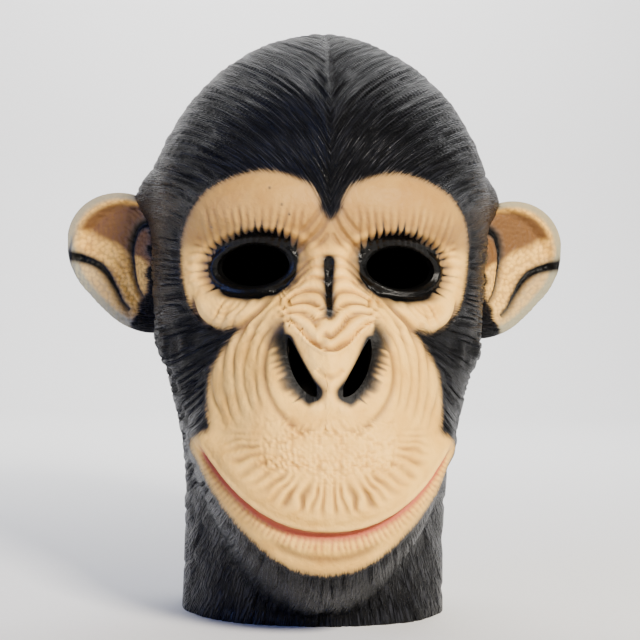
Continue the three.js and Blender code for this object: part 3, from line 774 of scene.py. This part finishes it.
def skin_patch(name, top, bottom, left, right, materials, cuts=()):
    """One closed piece of the skin between two rows and two columns of the grid, without its holes."""
    crown = top == 0
    full = right - left == ROUND
    grids, ids, first = [], [], 0
    for step in (1, COARSE):
        part = np.s_[top // step + crown : bottom // step + 1, left // step : right // step + (not full)]
        count = (bottom // step + 1 - top // step - crown, right // step - left // step + (not full))
        numbers = first + np.arange(count[0] * count[1]).reshape(count)
        ids.append(np.concatenate([numbers, numbers[:, :1]], 1) if full else numbers)
        grids.append(part)
        first += numbers.size
    points = [outer[grids[0]].reshape(-1, 3), inner[grids[1]].reshape(-1, 3)]
    shading = [outer_normals[grids[0]].reshape(-1, 3), inner_normals[grids[1]].reshape(-1, 3)]
    marks = {}
    for key, value in skin_values.items():
        both = value[grids[0]], value[::COARSE, ::COARSE][grids[1]]
        marks[key] = [part.reshape(-1, *value.shape[2:]) for part in both]
    keep = [np.ones(np.subtract(numbers.shape, 1), bool) for numbers in ids]
    fine, coarse = ids
    borders = [np.s_[-1, :]] + ([] if full else [np.s_[:, 0], np.s_[::-1, -1], np.s_[0, ::-1]])
    edges = [(fine[border], coarse[border], 1) for border in borders]
    for cut_rows, cut_columns in cuts:
        loops = []
        for step, numbers, kept in ((1, fine, keep[0]), (COARSE, coarse, keep[1])):
            a, b = (cut_rows.start - top) // step, (cut_rows.stop - top) // step
            c, d = (cut_columns.start - left) // step, (cut_columns.stop - left) // step
            kept[a:b, c:d] = False
            ring_round = numbers[a : b + 1, c : d + 1]
            loops.append([ring_round[::-1, 0], ring_round[0], ring_round[:, -1], ring_round[-1, ::-1]])
        edges += [(f, i, 0) for f, i in zip(*loops)]
    outside = grid_quads(fine)[keep[0]]
    inside = grid_quads(coarse)[keep[1]][:, ::-1]
    walls = [wall_fans(f, i) for f, i, _ in edges]
    wall_slots = [np.full(len(w), slot) for w, (_, _, slot) in zip(walls, edges)]
    poles = np.zeros((0, 3), int)
    if crown:
        for k, (grid, numbers) in enumerate(((outer, fine), (inner, coarse))):
            pole = first + k
            fan = np.stack([np.full(numbers.shape[1] - 1, pole), numbers[0, :-1], numbers[0, 1:]], 1)
            poles = np.concatenate([poles, fan[:, ::-1] if k else fan])
            points.append(grid[0].mean(0)[None])
            shading.append(np.array([[0, 0, -1.0 if k else 1.0]]))
        for key, parts in marks.items():
            parts += [skin_values[key][0, :1]] * 2
    points = np.concatenate(points)
    shading = np.concatenate(shading)
    marks = {key: np.concatenate(parts) for key, parts in marks.items()}
    used = np.zeros(len(points), bool)
    quads, triangles = np.concatenate([outside, inside]), np.concatenate([poles] + walls)
    for faces in (quads, triangles):
        used[faces] = True
    renumber = np.cumsum(used) - 1
    smooth_corners = np.concatenate([shading[quads.ravel()], shading[poles.ravel()]])
    corner_normals = np.concatenate([smooth_corners, flat_normals(points, np.concatenate(walls))])
    pole_slots = np.repeat([0, 1], len(poles) // 2)
    slots = np.concatenate([np.zeros(len(outside)), np.ones(len(inside)), pole_slots] + wall_slots)
    marks = {key: data[used] for key, data in marks.items()}
    faces = renumber[quads], renumber[triangles]
    return mesh_object(name, points[used], *faces, corner_normals, slots, marks, materials)


# %% [markdown]
# Where the paint goes
#
# The airbrush work could be painted on a picture and wrapped round. A picture has a size, though, and
# these borders don't: each point of the skin stores how far it is from the edge of a painted zone, in
# millimetres, and the finish turns that distance into a soft or a brushy edge.

# %% Values for the finish
PINHOLES = [(-29.3, 219.5), (-23.4, 211.5), (-19.8, 207), (-57, 201.5)]  # burst bubbles, x and z, drawn only as black dots of painted shade


def black_paint(s, z):
    """Distance to the black paint of eyes, nostrils and nose groove, below 0 inside it. The lashes are
    spikes of it in the brow's grooves, and the lines at the outer corner get some too."""
    rho, angle = round_eye(s, z, 23 / 16.5)
    lashes = lines(brow_phase(s, z), 0.19) * smooth(95, 140, np.abs(angle))
    lashes *= 3.4 + 2.4 * noise(s / 3, z / 30, 21)
    feet = lines(feet_phase(s, z), 0.16) * within(angle, 55, 125, 12)
    feet *= 2.4 + 2.8 * noise(s / 40, z / 4, 24)
    eye = rho - 15.8 - 1.2 * smooth(110, 50, np.abs(angle)) - lashes - feet - 0.7 * noise(s / 3, z / 3, 25)
    eye = np.where(eye > 0, 0.75 * eye, eye)
    slot, place = line_distance(s, z, NOSTRIL_LINE, 4)
    outs, heights = np.array(NOSTRIL_LINE[::-1]).T
    outside = smooth(-1.5, 2.5, s - np.interp(z, heights, outs))
    stroke = noise(place * 17, slot / 14, 22)
    past = slot - np.interp(place, [0, 1], [2.6, 4.4])
    bristles = noise(place * 24, slot / 9, 47)
    brushed = np.maximum(past, 0) * (1 - 0.4 * bristles) / (4.2 + 4.3 * smooth(1.1, 0.7, place))
    soft = -0.8 + 4.2 * brushed**2.4
    nostril = np.where(past > 0, 1.6 * past + outside * (soft - 1.6 * past), past - 0.8 * outside)
    groove, _ = line_distance(s, z, [(0, 160.5), (0, 185)], 2)
    return np.minimum(np.minimum(eye, nostril), groove - 1.9 - 0.04 * np.maximum(z - 160, 0) - 0.3 * stroke)


near_skin = hair_edge < 12
black_edge = np.full(turn.shape, 30.0)
black_edge[near_skin] = black_paint(s_all[near_skin], z_all[near_skin])
# painted shade: each burst bubble is a black dot in the paint, with no pit in the surface
for x, z in PINHOLES:
    pinhole_shade_gap = 3.5 * (np.hypot(surface[..., 0] - x, surface[..., 2] - z) - 0.35) + 30 * ~on_face
    black_edge = np.minimum(black_edge, pinhole_shade_gap)
painted_brow_shade = 0.8 * within(z_all, 196, 235, 8) * on_face  # painted shade: a thin brown that darkens the brows
over_all = over_mouth(s_all, z_all)
ticks = lines(along_mouth(s_all, z_all) / 2.5 + 0.3 * noise(s_all / 4, z_all / 9, 9), 0.17)
ticks *= within(over_all, -8.5, -4.5, 1.5) * (0.5 + 0.5 * noise(s_all / 3, z_all, 46))
pink = (hump(over_all, -2.2, 2.3) + 0.8 * ticks) * smooth(MOUTH_HALF + 1, MOUTH_HALF - 3, s_all)
skin_values = {
    "hair_edge": hair_edge,
    "black_edge": black_edge,
    # fold carries the wash and painted shade of the folds, the painted highlight of the ridges and the
    # brows' painted shade
    "fold": np.clip(folds / 1.4, -1, 1) - painted_brow_shade,
    "pink": pink * on_face,
    "leather": 0 * nape,
    "gloss": smooth(1.0, -0.8, black_edge) * smooth(160, 164, z_all),
    "leafy": leafy,
    "nape": nape,
    "meridian": np.stack([meridian_along, meridian_across, 0 * nape], -1),
    "nape_flow": np.stack([surface[..., 2], nape_across, 0 * nape], -1),
    "vein": np.stack([vein_along, vein_across, 0 * nape], -1),
}
print("values for the finish:", ", ".join(skin_values))

# %% [markdown]
# Finishes
#
# Latex is matt-satin when cast. The maker bases it in a peach cream, lets a brown wash run into the
# folds, and then paints the hair with near-black, dry-brushing grey over the strands that stand out. The
# wash is darker here than paint alone, as painted shade in the folds and over the brows. The pale raised
# folds and the grey strand tops are painted highlight as well as dry-brushing, and the hair is darker in
# its grooves and down the nape as painted shade. One finish mixes all of that by the stored distances.
# Separate finishes for skin, hair and rims would meet in hard lines, and here the paint runs from one into
# the next. The inside was never painted; its dark brown is painted shade, for the shadow inside the head.
#
# Patterns are sized in millimetres: strands 1.3 mm across and about 16 mm long, clouds in the base coat
# 14 mm, pores 2.6 mm with finer ones in them. Real pores are under half a millimetre, which no picture of
# a whole mask can show.

# %% Colours and the one helper for nodes
def colour(code):
    """#rrggbb as seen on a screen, turned into the linear light that the renderer works in."""
    share = np.array([int(code[i : i + 2], 16) for i in (1, 3, 5)]) / 255
    linear = np.where(share <= 0.04045, share / 12.92, ((share + 0.055) / 1.055) ** 2.4)
    return (*linear.tolist(), 1.0)


def add(tree, kind, inputs, output=0, **settings):
    """Adds a node, with its settings, and its inputs as values, as #rrggbb colours or as links from other
    nodes, and gives one output."""
    made = tree.nodes.new("ShaderNode" + kind)
    for name, value in settings.items():
        setattr(made, name, value)
    for key, value in inputs.items():
        if isinstance(value, bpy.types.NodeSocket):
            tree.links.new(value, made.inputs[key])
        else:
            made.inputs[key].default_value = colour(value) if isinstance(value, str) else value
    return made.outputs[output]


def new_material(name):
    """A material with nothing but its output, its node tree, and a place on the object in metres."""
    material = bpy.data.materials.new(name)
    material.use_nodes = True
    tree = material.node_tree
    tree.nodes.clear()
    tree.nodes.new("ShaderNodeOutputMaterial")
    return material, tree, add(tree, "TexCoord", {}, 3)


# %% Painted latex
def strand_pattern(tree, flow, cell, length):
    """Hair by noise: flow holds a place along a strand and a place across it, in mm. The noise is long
    along the strand, and its distance from one half gives a sharp valley wherever it crosses that."""
    split = tree.nodes.new("ShaderNodeSeparateXYZ")
    tree.links.new(add(tree, "Attribute", {}, 1, attribute_name=flow), split.inputs[0])
    along = add(tree, "Math", {0: split.outputs[0], 1: 1 / length}, operation="MULTIPLY")
    across = add(tree, "Math", {0: split.outputs[1], 1: 1 / cell}, operation="MULTIPLY")
    place = add(tree, "CombineXYZ", {0: across, 1: along})
    noisy = add(tree, "TexNoise", {"Vector": place, "Scale": 1.0, "Detail": 2.0, "Roughness": 0.6})
    off = add(tree, "Math", {0: noisy, 1: 0.5}, operation="SUBTRACT")
    valley = add(tree, "Math", {0: off}, operation="ABSOLUTE")
    return add(tree, "MapRange", {0: valley, 1: 0.0, 2: 0.14})


def painted_latex():
    """Latex, cast and airbrushed: peach-cream skin, brown wash in the folds that is painted shade as well,
    paler ridges that are painted highlight, pink mouth, black brushed hair with painted highlight and
    shade in it, black round the eyes and nostrils, and glossy black round the eyes."""
    material, tree, place = new_material("painted_latex")
    names = ("hair_edge", "black_edge", "fold", "pink", "leather", "leafy", "gloss", "nape")
    value = {name: add(tree, "Attribute", {}, 2, attribute_name=name) for name in names}
    swept = strand_pattern(tree, "meridian", 1.3, 16)
    hanging = strand_pattern(tree, "nape_flow", 1.3, 20)
    veined = strand_pattern(tree, "vein", 1.4, 15)
    strand = add(tree, "Mix", {0: value["nape"], 2: swept, 3: hanging}, 0)
    strand = add(tree, "Mix", {0: value["leafy"], 2: strand, 3: veined}, 0)
    mottle = add(tree, "TexNoise", {"Vector": place, "Scale": 70.0, "Detail": 3.0, "Roughness": 0.55})
    pores = add(tree, "TexNoise", {"Vector": place, "Scale": 380.0, "Detail": 4.0, "Roughness": 0.6})
    cloudy = add(tree, "MapRange", {0: mottle, 1: 0.35, 2: 0.7})
    # painted highlight as well as dry-brushing: the raised folds are made paler
    pale_ridges_and_highlight = add(tree, "MapRange", {0: value["fold"], 1: 0.0, 2: 1.0, 3: 0.0, 4: 0.5})
    # painted shade as well as wash: the folds turn brown by their depth
    deep = add(tree, "MapRange", {0: value["fold"], 1: 0.0, 2: -1.0, 3: 0.0, 4: 0.8})
    ear_rim = add(tree, "MapRange", {0: value["leather"], 1: 0.0, 2: -1.0})
    # the mist beside the hair, and the hair, which ends in strokes and has painted shade down the nape
    near_hair = add(tree, "MapRange", {0: value["hair_edge"], 1: -4.8, 2: 1.0})
    dusty = add(tree, "Math", {0: near_hair, 1: 1.8}, operation="POWER")
    misty = add(tree, "Math", {0: near_hair, 1: 3.0}, operation="POWER")
    stroke = add(tree, "MapRange", {0: strand, 1: 0.0, 2: 1.0, 3: 1.8, 4: -1.2})
    brushed = add(tree, "Math", {0: value["hair_edge"], 1: stroke}, operation="ADD")
    hairy = add(tree, "MapRange", {0: brushed, 1: -1.4, 2: 1.2})
    # dry-brushed grey on the strand tops, which is also painted highlight, and near-black in the grooves,
    # also painted shade
    hair = add(tree, "Mix", {0: strand, 6: "#030304", 7: "#1d1e23"}, 2, data_type="RGBA")
    # painted shade: the hair is made darker down the nape and towards the bottom
    painted_nape_shade = add(tree, "MapRange", {0: value["nape"], 1: 0.0, 2: 1.0, 3: 0.0, 4: 0.6})
    hair = add(tree, "Mix", {0: painted_nape_shade, 6: hair, 7: "#030303"}, 2, data_type="RGBA")
    # the sprayed black of eyes and nostrils, thin and grey at its edge
    halo = add(tree, "MapRange", {0: value["black_edge"], 1: 3.4, 2: -0.8})
    thin = add(tree, "Math", {0: halo, 1: 1.6}, operation="POWER")
    sprayed = add(tree, "Math", {0: halo, 1: 3.0}, operation="POWER")
    coats = [  # how much of each coat of paint lies over the ones before it, and its colour
        (cloudy, "#dfa84c"),  # base coat, clouded
        (pale_ridges_and_highlight, "#ffd27c"),  # paler ridges, dry-brushed, and painted highlight too
        (deep, "#6e4d31"),  # brown wash in the folds, and painted shade there and over the brows
        (value["pink"], "#ab5240"),  # lips
        (value["leather"], "#6b4a2a"),  # the ears' brown
        (ear_rim, "#8f8a72"),  # and their grey
        (dusty, "#6a645c"),
        (misty, "#201c1b"),
        (hairy, hair),
        (thin, "#5a544d"),
        (sprayed, "#060606"),
    ]
    paint = "#f5c160"
    for share, coat in coats:
        paint = add(tree, "Mix", {0: share, 6: paint, 7: coat}, 2, data_type="RGBA")
    rough = add(tree, "Mix", {0: hairy, 2: 0.5, 3: 0.36}, 0)
    rough = add(tree, "Mix", {0: value["gloss"], 2: rough, 3: 0.24}, 0)
    strand_bump = add(tree, "Math", {0: strand, 1: hairy}, operation="MULTIPLY")
    heights = add(tree, "Math", {0: strand_bump, 1: 2.2, 2: pores}, operation="MULTIPLY_ADD")
    bump = add(tree, "Bump", {"Strength": 1.0, "Distance": 0.0006, "Height": heights})
    looks = {"Base Color": paint, "Roughness": rough, "Normal": bump, "Specular IOR Level": 0.15}
    tree.links.new(add(tree, "BsdfPrincipled", looks), tree.nodes["Material Output"].inputs[0])
    return material


# %% Raw latex inside
def raw_latex():
    """Unpainted latex as it came out of the mould, dark brown as painted shade for the shadow inside the
    head, so that nothing pale shows through the eyes, and uneven where it pooled."""
    material, tree, place = new_material("raw_latex")
    pooled = add(tree, "TexNoise", {"Vector": place, "Scale": 45.0, "Detail": 4.0})
    bump = add(tree, "Bump", {"Strength": 0.4, "Distance": 0.0008, "Height": pooled})
    # painted shade: dark brown in place of the cream of raw latex, because the inside lies in shadow
    tint = add(tree, "Mix", {0: pooled, 6: "#3a2c1b", 7: "#281d11"}, 2, data_type="RGBA")
    shader = add(tree, "BsdfPrincipled", {"Base Color": tint, "Roughness": 0.6, "Normal": bump})
    tree.links.new(shader, tree.nodes["Material Output"].inputs[0])
    return material


finishes = [painted_latex(), raw_latex()]

# %% Make the patches
LEFT, RIGHT = SIDE_COLUMNS, SIDE_COLUMNS + FACE_COLUMNS
BOTTOM = CROWN_ROWS + FACE_ROWS
CUT_HEIGHTS = 160.0, 108.0  # between the eyes and the nostrils, and between the nostrils and the mouth
middle_heights = surface[:, (LEFT + RIGHT) // 2 + FACE_COLUMNS // 8, 2]
nose_top, mouth_top = (int(np.argmin(np.abs(middle_heights - z))) // COARSE * COARSE for z in CUT_HEIGHTS)
pieces = [
    skin_patch("mask_crown", 0, CROWN_ROWS, 0, ROUND, finishes),
    skin_patch("mask_brow", CROWN_ROWS, nose_top, LEFT, RIGHT, finishes, holes[:2]),
    skin_patch("mask_nose", nose_top, mouth_top, LEFT, RIGHT, finishes, holes[2:]),
    skin_patch("mask_mouth", mouth_top, BOTTOM, LEFT, RIGHT, finishes),
    skin_patch("mask_hair_right", CROWN_ROWS, BOTTOM, 0, LEFT, finishes),
    skin_patch("mask_hair_left", CROWN_ROWS, BOTTOM, RIGHT, ROUND, finishes),
]

# %% [markdown]
# The ears
#
# Each ear is a dish about 80 mm tall. It could be pulled out of the head's own surface, but its rim turns
# back behind itself, and a grid over the head can't follow that. A polar grid can: its rows run from the
# middle of the dish out over the rim and back in behind. Where the dish would stand inside the head, it
# is laid just under the head's surface instead, so the inside of the mask stays clear. The paint of the
# hair goes on over the root.

# %% Ear form
EAR_THICK = 5.0
EAR_DISH = 9.0
EAR_SWEEP = 0.42
EAR_SKEW = 0.16
EAR_SHRINK = 0.965  # keeps the skewed outline within the half sizes
EAR_SPOKES = 240
EAR_RINGS = 80
EAR_CREASES = [  # in shares of the ear's half sizes, with half width and depth in mm
    [[(0.95, 0.1), (0.68, 0.02), (0.5, -0.12), (0.36, -0.33), (0.21, -0.57), (0.04, -0.73)], 2.0, 2.6],
    [[(-0.34, 0.56), (-0.11, 0.57), (0.04, 0.49), (0.13, 0.28), (0.13, 0.02), (0.04, -0.33),
      (-0.14, -0.57)], 1.9, 2.6],
]


def in_mm(line):
    """A line in shares of the ear's half sizes, in mm."""
    return [(a * EAR_WIDE, b * EAR_TALL) for a, b in line]


def leather_bumps(out, up):
    """Distance to the nearest bump of the ear's leather, about 2.4 mm apart."""
    return cells(out * 17, up * 15, 32)


def ear_front(out, up):
    """Height of the ear's front over its plane: a dish, an oval lobe by the root, a lappet low outside, a
    rolled rim and two deep creases."""
    reach = np.hypot(out, up)
    rim = EAR_DISH * (reach**2 - 0.45)
    lobe = EAR_DISH * 0.75 * np.exp(-(((out + 0.22) / 0.26) ** 2) - ((up + 0.1) / 0.5) ** 2)
    lappet = EAR_DISH * 0.3 * smooth(0.36, 0.52, out * 0.75 - up * 0.66) * smooth(1, 0.85, reach)
    roll = 1.5 * hump(reach, 0.93, 0.05) - 1.3 * hump(reach, 0.82, 0.05)
    roll *= within(np.degrees(np.arctan2(up, out)), 5, 150, 15)
    lift = rim + lobe + lappet + roll
    for line, width, depth in EAR_CREASES:
        lift += crease(out * EAR_WIDE, up * EAR_TALL, in_mm(line), width, depth, 0.1)
    leather = 0.3 * noise(out * 9, up * 9, 31) - 1.1 * np.clip(leather_bumps(out, up), 0.2, 0.7)
    return lift + leather * smooth(0.98, 0.85, reach)


def head_side(y, z):
    """Distance from the mid-plane to the side of the modelled head at a place, by settling on its y and
    z."""
    start_row = np.interp(-z, -RINGS[:, 1] * HEIGHT, np.arange(LAST + 1.0))
    at_turn, at_row = settle(np.full(y.shape, 1.6), start_row, np.stack([y, z], -1), [1, 2], 6)
    return modelled(at_turn, at_row)[..., 0]


def ear(name, side):
    """One ear as a closed dish. A row's share of the half sizes rises to 1 at the rim and falls again
    behind."""
    share = np.concatenate([np.sin(np.linspace(0, 1, EAR_RINGS + 1) * np.pi / 2) ** 0.8] * 2)
    share[EAR_RINGS + 1 :] = share[EAR_RINGS::-1]
    share = np.delete(share, EAR_RINGS)[:, None]
    front = np.arange(len(share))[:, None] < EAR_RINGS
    angle = side * np.linspace(0, 2 * np.pi, EAR_SPOKES + 1)[None]
    outline = EAR_SHRINK * (1 + EAR_SKEW * np.sin(2 * angle))
    out = share * outline * np.cos(angle)
    up = share * outline * np.sin(angle)
    rounding = np.sqrt(np.maximum(1 - share**6, 0))
    deep = ear_front(out, up) - EAR_THICK / 2 * (1 + np.where(front, -rounding, rounding))
    outwards, backwards = np.cos(EAR_SWEEP), np.sin(EAR_SWEEP)
    x = HEAD_WIDTH / 2 + EAR_REACH + (out - 1) * EAR_WIDE * outwards + deep * backwards
    y = EAR_BACK + out * EAR_WIDE * backwards - deep * outwards
    z = EAR_HEIGHT + up * EAR_TALL
    x = np.maximum(x, head_side(y, z) - 1.0)
    points = np.clip(np.stack([side * x, y + SHIFT, z], -1), low, high)
    normals = grid_normals(points)
    ids = np.arange((len(share) - 2) * EAR_SPOKES).reshape(-1, EAR_SPOKES)
    ids = np.concatenate([ids, ids[:, :1]], 1)
    poles = ids.size - len(ids) + np.arange(2)
    quads = grid_quads(ids).reshape(-1, 4)
    fans = np.concatenate([
        np.stack([np.full(EAR_SPOKES, poles[0]), ids[0, :-1], ids[0, 1:]], 1),
        np.stack([np.full(EAR_SPOKES, poles[1]), ids[-1, 1:], ids[-1, :-1]], 1),
    ])

    def listed(field):
        """A grid's values in the order of the mesh's points: the rows between the poles, then both poles.
        """
        return np.concatenate([field[1:-1, :-1].reshape(-1, *field.shape[2:]), field[0, :1], field[-1, :1]])

    normals[[0, -1]] = normals[[1, -2], :-1].mean(1)[:, None]
    within_rim = smooth(0.95, 0.8, np.hypot(out, up) / outline)
    dish = smooth(-0.07, 0.07, up - 0.08 - 0.5 * out + 0.04 * noise(out * 6, up * 6, 34))
    dish = dish * within_rim - 0.9 * (1 - within_rim) - 0.45 * smooth(0.42, 0.56, out * 0.75 - up * 0.66)
    dish = np.where(front, np.clip(dish, -1, 1), -0.6)
    root = 92 + 7 * ((z - 190) / 33) ** 2 - x + 2 * noise(z / 3, x / 9, 33)
    bump_wash_and_shade = smooth(0.3, 0.62, leather_bumps(out, up)) * front  # wash left between the bumps of the leather, and painted shade there too
    groove = np.full(out.shape, 30.0)
    for line, *_ in EAR_CREASES:
        gap, along = line_distance(out * EAR_WIDE, up * EAR_TALL, in_mm(line))
        groove = np.minimum(groove, gap - 2.6 + 2.4 * along + 6 * smooth(0.92, 1.0, along))
    black = np.where(front, groove, 30.0)
    values = {"hair_edge": root, "black_edge": black, "fold": -0.08 - 0.5 * bump_wash_and_shade, "leather": dish}
    values |= dict.fromkeys(("pink", "gloss", "leafy", "nape"), 0 * x)
    values |= dict.fromkeys(("meridian", "nape_flow", "vein"), np.stack([x - 60, z, 0 * x], -1))
    values = {key: listed(field) for key, field in values.items()}
    shading = listed(normals)[np.concatenate([quads.ravel(), fans.ravel()])]
    slots = np.zeros(len(quads) + len(fans))
    return mesh_object(name, listed(points), quads, fans, shading, slots, values, finishes)


pieces += [ear("mask_ear_right", -1), ear("mask_ear_left", 1)]
for piece in pieces:
    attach(piece, "root")
    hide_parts("mask_skin")

# %% [markdown]
# Stage, light and camera
#
# The mask stands on its neck rim on a pale sweep. One small soft lamp hangs in front, above the camera
# and to its right, so that every fold has a shadow. A weak bluish one fills from the left, a weaker one
# stands behind, and one lights the backdrop alone. The camera stands level with the face, 0.8 m away,
# turned by 3 degrees and rolled by 1.

# %% Stage
def pale_paper():
    """Seamless paper: white, matt, faintly grained."""
    material, tree, place = new_material("pale_paper")
    grain = add(tree, "TexNoise", {"Vector": place, "Scale": 300.0})
    tint = add(tree, "Mix", {0: grain, 6: "#e9e9e9", 7: "#e2e2e2"}, 2, data_type="RGBA")
    shader = add(tree, "BsdfPrincipled", {"Base Color": tint, "Roughness": 0.9})
    tree.links.new(shader, tree.nodes["Material Output"].inputs[0])
    return material


def sweep():
    """Floor that curves up into a backdrop: a straight run, a quarter circle and an upright, drawn as a
    profile."""
    bend, depth, half, tall = 0.5, 1.6, 3.0, 2.4
    quarter = np.linspace(0, np.pi / 2, 24)
    profile_y = np.concatenate([[-2.5], depth + bend * np.sin(quarter), [depth + bend]])
    profile_z = np.concatenate([[0.0], bend - bend * np.cos(quarter), [tall]])
    points = np.stack([[x + 0 * profile_y, profile_y, profile_z] for x in (-half, half)]).transpose(2, 0, 1)
    ids = np.arange(len(points) * 2).reshape(-1, 2)
    quads = grid_quads(ids).reshape(-1, 4)[:, ::-1]
    mesh = bpy.data.meshes.new("sweep")
    mesh.from_pydata(points.reshape(-1, 3).tolist(), [], quads.tolist())
    mesh.polygons.foreach_set("use_smooth", np.ones(len(quads), bool))
    mesh.materials.append(pale_paper())
    made = bpy.data.objects.new("sweep", mesh)
    bpy.context.scene.collection.objects.link(made)
    return made


sweep()


def lamp(name, place, aim, size, watts, tint):
    """A square soft lamp of a given size in metres and colour, turned towards a point."""
    light = bpy.data.lights.new(name, "AREA")
    light.color = colour(tint)[:3]
    light.size = size
    light.energy = watts
    made = bpy.data.objects.new(name, light)
    made.location = place
    away = np.array(place) - np.array(aim)
    made.rotation_euler = (np.arctan2(np.hypot(*away[:2]), away[2]), 0, np.arctan2(away[0], -away[1]))
    bpy.context.scene.collection.objects.link(made)
    return made


centre = (0, 0, 0.17)
lamp("key", (0.5, -1.15, 0.8), centre, 0.28, 52, "#fff6e8")
lamp("fill", (-1.1, -0.5, 0.3), centre, 0.5, 9, "#7f9cff")
lamp("behind", (0.4, 0.9, 1.3), centre, 0.5, 4, "#ffffff")
lamp("backdrop", (0, 0.9, 1.7), (0, 2.1, 0.6), 1.2, 75, "#ffffff")
world = bpy.data.worlds.new("studio")
bpy.context.scene.world = world
world.use_nodes = True
world.node_tree.nodes["Background"].inputs[0].default_value = colour("#ffffff")
world.node_tree.nodes["Background"].inputs[1].default_value = 0.1

# %% Camera
VIEW_TURN = np.radians(3.0)
VIEW_AWAY = 0.8  # metres
VIEW_HEIGHT = 0.157
VIEW_ASIDE = 0.0015
VIEW_ROLL = np.radians(-1.0)
FRAME = 36.0  # mm, the width of the frame, over which the picture has 640 pixels
FOCAL = 1450 / 640 * FRAME
camera_data = bpy.data.cameras.new("camera")
camera_data.lens = FOCAL
camera_data.sensor_width = FRAME
camera = bpy.data.objects.new("camera", camera_data)
ahead, across = np.cos(VIEW_TURN), np.sin(VIEW_TURN)
camera.location = (
    VIEW_ASIDE * ahead - VIEW_AWAY * across,
    SHIFT * MM - VIEW_ASIDE * across - VIEW_AWAY * ahead,
    VIEW_HEIGHT,
)
camera.rotation_mode = "XYZ"
camera.rotation_euler = (np.pi / 2, VIEW_ROLL, -VIEW_TURN)
bpy.context.scene.collection.objects.link(camera)
bpy.context.scene.camera = camera
